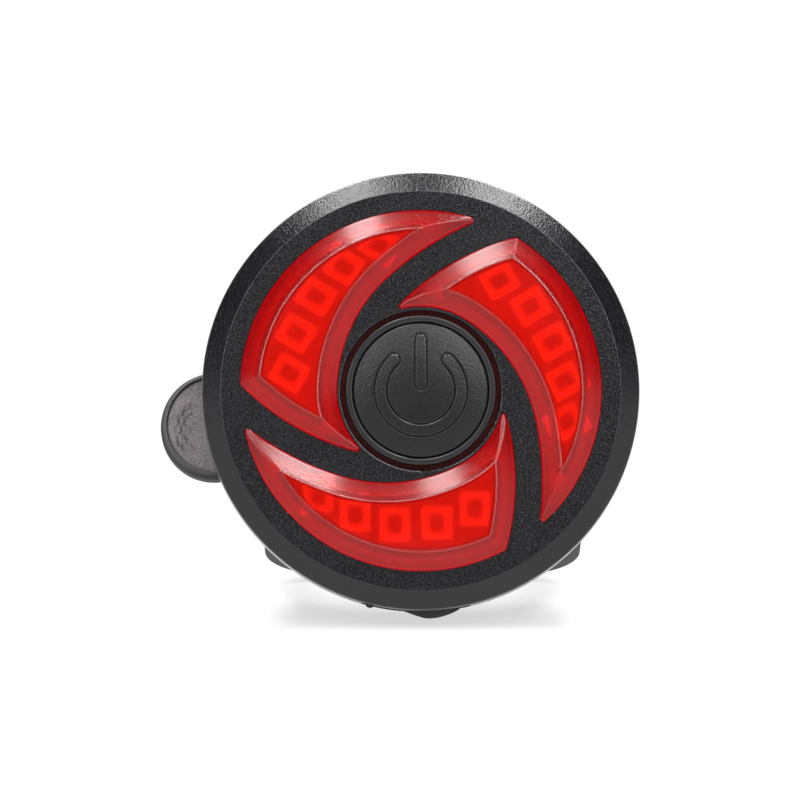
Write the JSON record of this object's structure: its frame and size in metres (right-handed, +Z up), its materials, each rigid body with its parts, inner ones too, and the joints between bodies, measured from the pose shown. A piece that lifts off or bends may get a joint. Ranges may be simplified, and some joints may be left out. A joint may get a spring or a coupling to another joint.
{
  "type": "bicycle tail light",
  "caption": "Round bicycle tail light with swirl lens blades, a centre push button, a charging socket cover and a saddle with a silicone strap for a seatpost.",
  "frame": {"origin": "on the axis of the seatpost that the saddle holds, at the height of the light's centre", "axes": "+Z up along the seatpost, the light faces -Y, +X to the right seen from the front"},
  "size_m": [0.073, 0.0646, 0.0672],
  "materials": {
    "charcoal_abs": "fine spark texture, satin",
    "red_polycarbonate": "clear red, polished, with a light haze",
    "black_gloss": "satin to gloss",
    "black_silicone": "matt",
    "black_abs": "fine spark texture",
    "white_plastic": "satin white",
    "led_package": "phosphor under clear resin",
    "white_board": "white solder mask",
    "chip_black": "moulded epoxy",
    "steel": "zinc plated",
    "nickel": "nickel plated",
    "cell_pouch": "laminated foil",
    "cell_tape": "amber tape",
    "grey_foam": "open foam",
    "wire_red": "wire sleeve",
    "black_nylon": "moulded, faint grain",
    "satin_black": "satin with a leather-like grain"
  },
  "bodies": {
    "housing": {"front_bezel": "charcoal_abs", "lens": "red_polycarbonate", "button_collar": "black_gloss", "button_seal": "black_silicone", "switch_body": "black_abs", "led_frame": "white_plastic", "leds": "led_package", "led_board": "white_board", "board_chips": "chip_black", "board_screws": "steel", "usb_shell": "nickel", "usb_tongue": "chip_black", "rear_shell": "black_abs", "housing_seal": "black_silicone", "housing_screws": "steel", "battery": "cell_pouch", "battery_board": "cell_tape", "battery_foam": "grey_foam", "battery_wires": "wire_red", "bracket": "black_nylon", "bracket_screws": "steel", "saddle_pad": "black_silicone"},
    "button": {"button_cap": "satin_black"},
    "switch_stem": {"switch_stem": "black_abs"},
    "port_cover": {"port_cover": "black_silicone"},
    "strap": {"strap": "black_silicone"}
  },
  "joints": [
    {"name": "button_press", "type": "slide", "parent": "housing", "child": "button", "axis": [0, 1, 0], "range_m": [0, 0.0005], "stiffness_N_per_m": 1800, "springref_m": -0.0003},
    {"name": "switch_press", "type": "slide", "parent": "housing", "child": "switch_stem", "axis": [0, 1, 0], "range_m": [0, 0.0005]},
    {"name": "port_cover_swing", "type": "hinge", "parent": "housing", "child": "port_cover", "pos_m": [-0.0076, -0.0321, -0.03175], "axis": [0, 1, 0], "range_deg": [0, 110], "stiffness_Nm_per_rad": 0.001, "springref_deg": -14.32},
    {"name": "strap_swing", "type": "hinge", "parent": "housing", "child": "strap", "pos_m": [0, -0.0188, -0.0065], "axis": [1, 0, 0], "range_deg": [0, 34]}
  ],
  "couplings": [
    {"joint": "switch_press", "follows": "button_press", "ratio": 1}
  ]
}
